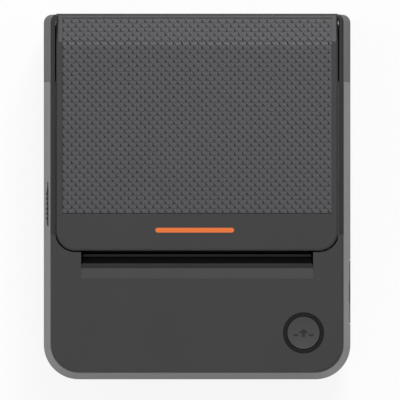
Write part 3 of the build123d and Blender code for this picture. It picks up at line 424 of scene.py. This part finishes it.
# Drive: the motor's drawn can, the steel pinion and shafts,
# and three gears of natural white acetal with a film of grease.
can_steel = turned_steel("motor_can_steel", (0.52, 0.52, 0.53), 0.30, "X")
dress(["motor", "motor_pinion", "latch_bar", "platen_shaft"], can_steel)


def acetal(name, colour):
    """Slippery white gear plastic with a film of grease gathered in patches."""
    shade = Shade(name)
    grease = shade.noise(700, 3.0, 0.6)
    shade.set(
        Base_Color=shade.mix(grease, colour, tuple(value * 0.86 for value in colour)),
        Roughness=0.42 - grease * 0.20,
        Normal=shade.bump(shade.noise(2600, 2.0), 0.00002, 0.4),
    )
    shade.set(Specular_IOR_Level=0.5)
    return shade.material


gear_white = acetal("gear_acetal", (0.66, 0.64, 0.58))
dress(["platen_gear", "idler_gear", "reduction_gear"], gear_white)

# Platen: ground black rubber with a very fine lay round its axis,
# in black acetal bushes.


def rubber(name, colour, roughness, along=None):
    """Black rubber: fine ground or moulded surface with a dusty bloom."""
    shade = Shade(name)
    bloom = shade.noise(60, 4.0, 0.6)
    if along:
        lay = shade.noise(1.0, 2.0, 0.6, vector=shade.stretch(*along))
    else:
        lay = shade.noise(1800, 2.0)
    shade.set(
        Base_Color=shade.mix(bloom, colour, tuple(value * 1.5 for value in colour)),
        Roughness=roughness - lay * 0.08,
        Normal=shade.bump(lay, 0.00003, 0.6),
    )
    shade.set(Specular_IOR_Level=0.35)
    return shade.material


platen_lay = (4200.0, 300.0, 300.0)
platen_surface = rubber("platen_ground_rubber", (0.012, 0.012, 0.0125), 0.62, platen_lay)
dress(["platen_rubber"], platen_surface)
bush_black = moulded("bush_acetal", (0.020, 0.020, 0.021), 0.36, relief=0.00001)
dress(["platen_bushes", "latch_lever", "dc_socket", "power_switch"], bush_black)

# Print head: a dark glazed plate with a fine line of dots,
# on a black anodised heat sink.
dot_line_z = 0.0475
dot_line_half = 0.00035
dot_phase_per_metre = 25000.0
glaze = Shade("head_glaze")
head_x, _, head_z = glaze.axes()
dots_across = (head_x * dot_phase_per_metre).wave() > 0.0
dot_line = (abs(head_z - dot_line_z) < dot_line_half) * dots_across
plate = glaze.mix(glaze.noise(120, 2.0), (0.018, 0.016, 0.015), (0.026, 0.023, 0.021))
glaze.set(
    Base_Color=glaze.mix(dot_line, plate, (0.20, 0.13, 0.06)),
    Roughness=0.14 + glaze.noise(300, 2.0) * 0.08,
    Normal=glaze.bump(glaze.noise(800, 2.0), 0.000004, 0.4),
)
dress(["print_head"], glaze.material)
anodised = Shade("black_anodised_sink")
brushing = anodised.noise(1.0, 2.0, 0.6, vector=anodised.stretch(70.0, 2600.0, 2600.0))
anodised.set(
    Base_Color=anodised.mix(brushing, (0.0035, 0.0035, 0.0038), (0.0060, 0.0060, 0.0064)),
    Roughness=0.38 + brushing * 0.14,
    Normal=anodised.bump(brushing, 0.00001, 0.6),
)
anodised.set(Specular_IOR_Level=0.04)
dress(["heat_sink"], anodised.material)

# Release slider: charcoal knob with upright finger ribs on its outer face,
# which lean inwards with the case wall.
knob_plastic = moulded("knob_plastic", charcoal, 0.45, relief=0.00003)
dress(["release_knob"], knob_plastic)
rib_count = 6
rib_pitch = 0.0018
rib_width = 0.0007
rib_rise = 0.00035
rib_root = 0.0004
rib_edge = 0.0002
knob_middle_y = -0.0033
knob_middle_z = 0.0440
knob_height = 0.0036
knob_stand = 0.0004
case_half_width = 0.0555
seam_height = 0.026
case_lean = 2.6 / 29.0


def bar(name, corner_low, corner_high, edge, lean=0.0):
    """Small rounded bar between two corners; its sides may lean inwards with height."""
    bpy.ops.object.select_all(action="DESELECT")
    bpy.ops.mesh.primitive_cube_add(size=1.0, location=(0, 0, 0))
    made = bpy.context.object
    made.name = made.data.name = name
    for vertex in made.data.vertices:
        for i in range(3):
            vertex.co[i] = corner_high[i] if vertex.co[i] > 0 else corner_low[i]
        vertex.co.x += lean * (vertex.co.z - corner_low[2])
    soften = made.modifiers.new("edge", "BEVEL")
    soften.width = edge
    soften.segments = 2
    bpy.ops.object.modifier_apply(modifier=soften.name)
    return made


def group(name, bars, material, body):
    """Join small bars into one piece that rides a body."""
    bpy.ops.object.select_all(action="DESELECT")
    for one in bars:
        one.select_set(True)
    bpy.context.view_layer.objects.active = bars[0]
    if len(bars) > 1:
        bpy.ops.object.join()
    piece = bpy.context.object
    piece.name = piece.data.name = name
    piece.data.materials.clear()
    piece.data.materials.append(material)
    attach(piece, body)
    return piece


ribs = []
knob_low_z = knob_middle_z - knob_height / 2
knob_face = -(case_half_width - case_lean * (knob_low_z - seam_height) + knob_stand)
for i in range(rib_count):
    rib_y = knob_middle_y + (i - (rib_count - 1) / 2) * rib_pitch
    ribs.append(bar(
        "rib",
        (knob_face - rib_rise, rib_y - rib_width / 2, knob_low_z),
        (knob_face + rib_root, rib_y + rib_width / 2, knob_low_z + knob_height),
        rib_edge,
        case_lean,
    ))
group("release_knob_ribs", ribs, knob_plastic, "release")

# Sockets under their soft rubber cover,
# which has a finger lip along its upper edge.
nickel = turned_steel("socket_nickel", (0.56, 0.55, 0.52), 0.24, "X")
dress(["usb_socket"], nickel)
cover_rubber = rubber("cover_rubber", (0.034, 0.034, 0.035), 0.58)
dress(["port_cover"], cover_rubber)
lip_z = 0.0300
lip_front = -0.0385
lip_rear = -0.0302
lip_height = 0.0008
lip_rise = 0.0003
lip_root = 0.0005
lip_edge = 0.0002
lip_face = case_half_width - case_lean * (lip_z - seam_height)
lip = bar(
    "lip",
    (lip_face - lip_root, lip_front, lip_z),
    (lip_face + lip_rise, lip_rear, lip_z + lip_height),
    lip_edge,
    -case_lean,
)
group("port_cover_lip", [lip], cover_rubber, "port_flap")

# Power switch: a small charcoal knob that slides in the case wall,
# over the black switch body inside.
power_knob = moulded("power_knob_plastic", (0.030, 0.030, 0.031), 0.42)
dress(["power_knob"], power_knob)

# Battery: a pack in dark blue shrink wrap,
# behind a door with a thumb grip of five low ridges.
ridge_count = 5
ridge_first_y = -0.0545
ridge_pitch = 0.0016
ridge_half_width = 0.0004
ridge_reach = 0.009
ridge_low_z = 0.0007
ridge_high_z = 0.0012
ridge_edge = 0.00018
wrap = Shade("battery_wrap")
creases = wrap.noise(140, 5.0, 0.65)
wrap.set(
    Base_Color=wrap.mix(creases, (0.018, 0.028, 0.060), (0.026, 0.038, 0.078)),
    Roughness=0.22 + creases * 0.16,
    Normal=wrap.bump(creases, 0.00025, 0.5),
)
dress(["battery_pack"], wrap.material)
ridges = []
for i in range(ridge_count):
    ridge_y = ridge_first_y + i * ridge_pitch
    ridges.append(bar(
        "ridge",
        (-ridge_reach, ridge_y - ridge_half_width, ridge_low_z),
        (ridge_reach, ridge_y + ridge_half_width, ridge_high_z),
        ridge_edge,
    ))
group("battery_door_grip", ridges, case_grey, "door")

# Feet: four dark rubber pads seated in the recesses of the tray's floor.
dress(["rubber_feet"], rubber("foot_rubber", (0.030, 0.030, 0.031), 0.66))

# Screw drives: a near-black cross laid on the head of each case screw, seen in its counterbore from below;
# the black stands for the shade inside the cross recess and is painted shade.
screw_places = ((0.04757, -0.05807), (0.0503, 0.034))
cross_reach = 0.0013
cross_half_width = 0.00030
cross_low_z = 0.00188
cross_high_z = 0.00200
cross_edge = 0.00004
cross_painted_shade = moulded("cross_recess_painted_shade", (0.010, 0.010, 0.010), 0.60)
crosses = []
for cross_x, cross_y in screw_places:
    for side in (-1, 1):
        for long_x, long_y in ((cross_reach, cross_half_width), (cross_half_width, cross_reach)):
            crosses.append(bar(
                "cross",
                (side * cross_x - long_x, cross_y - long_y, cross_low_z),
                (side * cross_x + long_x, cross_y + long_y, cross_high_z),
                cross_edge,
            ))
group("case_screw_drives", crosses, cross_painted_shade, "case")

# Lid: charcoal cover snapped over its inner frame,
# with a plain orange bar inked on its front border.
bar_middle = (-0.00085, -0.01195)
bar_reach = 0.0133
bar_radius = 0.00085
bar_lowest = 0.0575


def accent_bar(shade):
    """Plain bar with round ends."""
    x, y, z = shade.axes()
    over = (abs(x - bar_middle[0]) - bar_reach).above(0.0)
    off = y - bar_middle[1]
    return ((over * over + off * off) < bar_radius * bar_radius) * (z > bar_lowest)


lid_plastic = moulded(
    "lid_plastic",
    charcoal,
    0.47,
    grain=3200,
    relief=0.00003,
    print_colour=(0.74, 0.155, 0.028),
    print_mask=accent_bar,
)
dress(["lid_cover"], lid_plastic)

# Grip field on the lid: rows of low wedge-shaped tiles, every other row set half a tile aside,
# with a small three-sided pit at each tile's front left corner; moulded in one piece with the lid.
tile_width = 0.002933
tile_length = 0.0015915
tile_step = 0.00014
tile_crest = 0.00002
tile_skirt = 0.00002
narrowest_face = 0.00002
pit_depth = 0.00036
pit_width = 0.42
pit_length = 0.92
pit_bottom = (0.12, 0.24)
pit_shade_depth = 0.00015
field_half = 0.0485
field_front = -0.0060
field_crease = 0.0559
field_rear = 0.0645
field_margin = 0.0001
top_z = 0.0580
slope_end = 0.0660
slope_fall = 0.0044
slope = slope_fall / (slope_end - field_crease)
tile_rows = int((field_rear - field_front) / tile_length)
tile_columns = int(2 * field_half / tile_width) + 1
start_y = field_front + (field_rear - field_front - tile_rows * tile_length) / 2
start_x = -tile_columns * tile_width / 2


def field_height(y):
    """Level of the lid's outside at a place along its depth."""
    return top_z if y <= field_crease else top_z - slope * (y - field_crease)


tile_form = bmesh.new()
corners = {}


def tile_point(column, row, u, v, drop):
    """A corner of the tile field, shared by the faces that meet there."""
    across = column + 0.5 * (row % 2) + u
    x = min(max(start_x + across * tile_width, -field_half + field_margin), field_half - field_margin)
    y = start_y + (row + v) * tile_length
    key = (round(x, 6), round(y, 6), round(drop, 6))
    if key not in corners:
        corners[key] = tile_form.verts.new((x, y, field_height(y) - drop))
    return corners[key]


def tile_face(points):
    """A face, unless the field's edge has squeezed it to nothing."""
    distinct = list(dict.fromkeys(points))
    places = [point.co.x for point in distinct]
    if len(distinct) > 2 and max(places) - min(places) > narrowest_face:
        tile_form.faces.new(distinct)


for row in range(tile_rows):
    for column in range(-1, tile_columns):
        front_left = tile_point(column, row, 0, 0, tile_crest)
        pit_right = tile_point(column, row, pit_width, 0, tile_crest)
        front_right = tile_point(column, row, 1, 0, tile_crest)
        rear_right = tile_point(column, row, 1, 1, tile_crest + tile_step)
        rear_left = tile_point(column, row, 0, 1, tile_crest + tile_step)
        pit_rear = tile_point(column, row, 0, pit_length, tile_crest + tile_step * pit_length)
        bottom = tile_point(column, row, *pit_bottom, pit_depth)
        tile_face((pit_right, front_right, rear_right, rear_left, pit_rear))
        tile_face((front_left, pit_right, bottom))
        tile_face((pit_right, pit_rear, bottom))
        tile_face((pit_rear, front_left, bottom))
        low_left = tile_point(column, row, 0, 0, tile_crest + tile_step + tile_skirt)
        low_right = tile_point(column, row, 1, 0, tile_crest + tile_step + tile_skirt)
        tile_face((front_left, low_left, low_right, front_right, pit_right))
tile_form.normal_update()
field_mesh = bpy.data.meshes.new("lid_grip_field")
tile_form.to_mesh(field_mesh)
tile_form.free()
field = bpy.data.objects.new("lid_grip_field", field_mesh)
bpy.context.scene.collection.objects.link(field)
grip = Shade("grip_field_plastic")
_, grip_y, grip_z = grip.axes()
grip_level = top_z - (grip_y - field_crease).above(0.0) * slope
# Painted shade: the colour falls to near-black with depth below the field's surface, so each pit is painted
# dark as if in shade.
painted_pit_shade = ((grip_level - grip_z - pit_shade_depth) * (1.0 / pit_shade_depth)).above(0.0).below(1.0)
grain = grip.noise(3200, 3.0, 0.6)
worn = grip.noise(70, 3.0, 0.55)
ridge_tone = grip.mix(worn * 0.6 + grain * 0.4, (0.047, 0.046, 0.051), (0.058, 0.057, 0.062))
grip.set(
    Base_Color=grip.mix(painted_pit_shade, ridge_tone, (0.012, 0.012, 0.0138)),
    Roughness=0.38 + grain * 0.08 + painted_pit_shade * 0.25,
    Normal=grip.bump(grain, 0.00002, 0.5),
)
grip.set(Specular_IOR_Level=0.42)
field.data.materials.append(grip.material)
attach(field, "lid")

# Stiffening ribs under the lid's inner frame, over the middle of the paper roll,
# in the frame's own plastic.
stiffener_count = 7
stiffener_pitch = 0.012
stiffener_half_width = 0.0005
stiffener_front = 0.0060
stiffener_rear = 0.0500
stiffener_low_z = 0.0545
stiffener_high_z = 0.0550
stiffener_edge = 0.0001
stiffeners = []
for i in range(stiffener_count):
    rib_x = (i - (stiffener_count - 1) / 2) * stiffener_pitch
    stiffeners.append(bar(
        "stiffener",
        (rib_x - stiffener_half_width, stiffener_front, stiffener_low_z),
        (rib_x + stiffener_half_width, stiffener_rear, stiffener_high_z),
        stiffener_edge,
    ))
group("lid_stiffeners", stiffeners, inner_black, "lid")
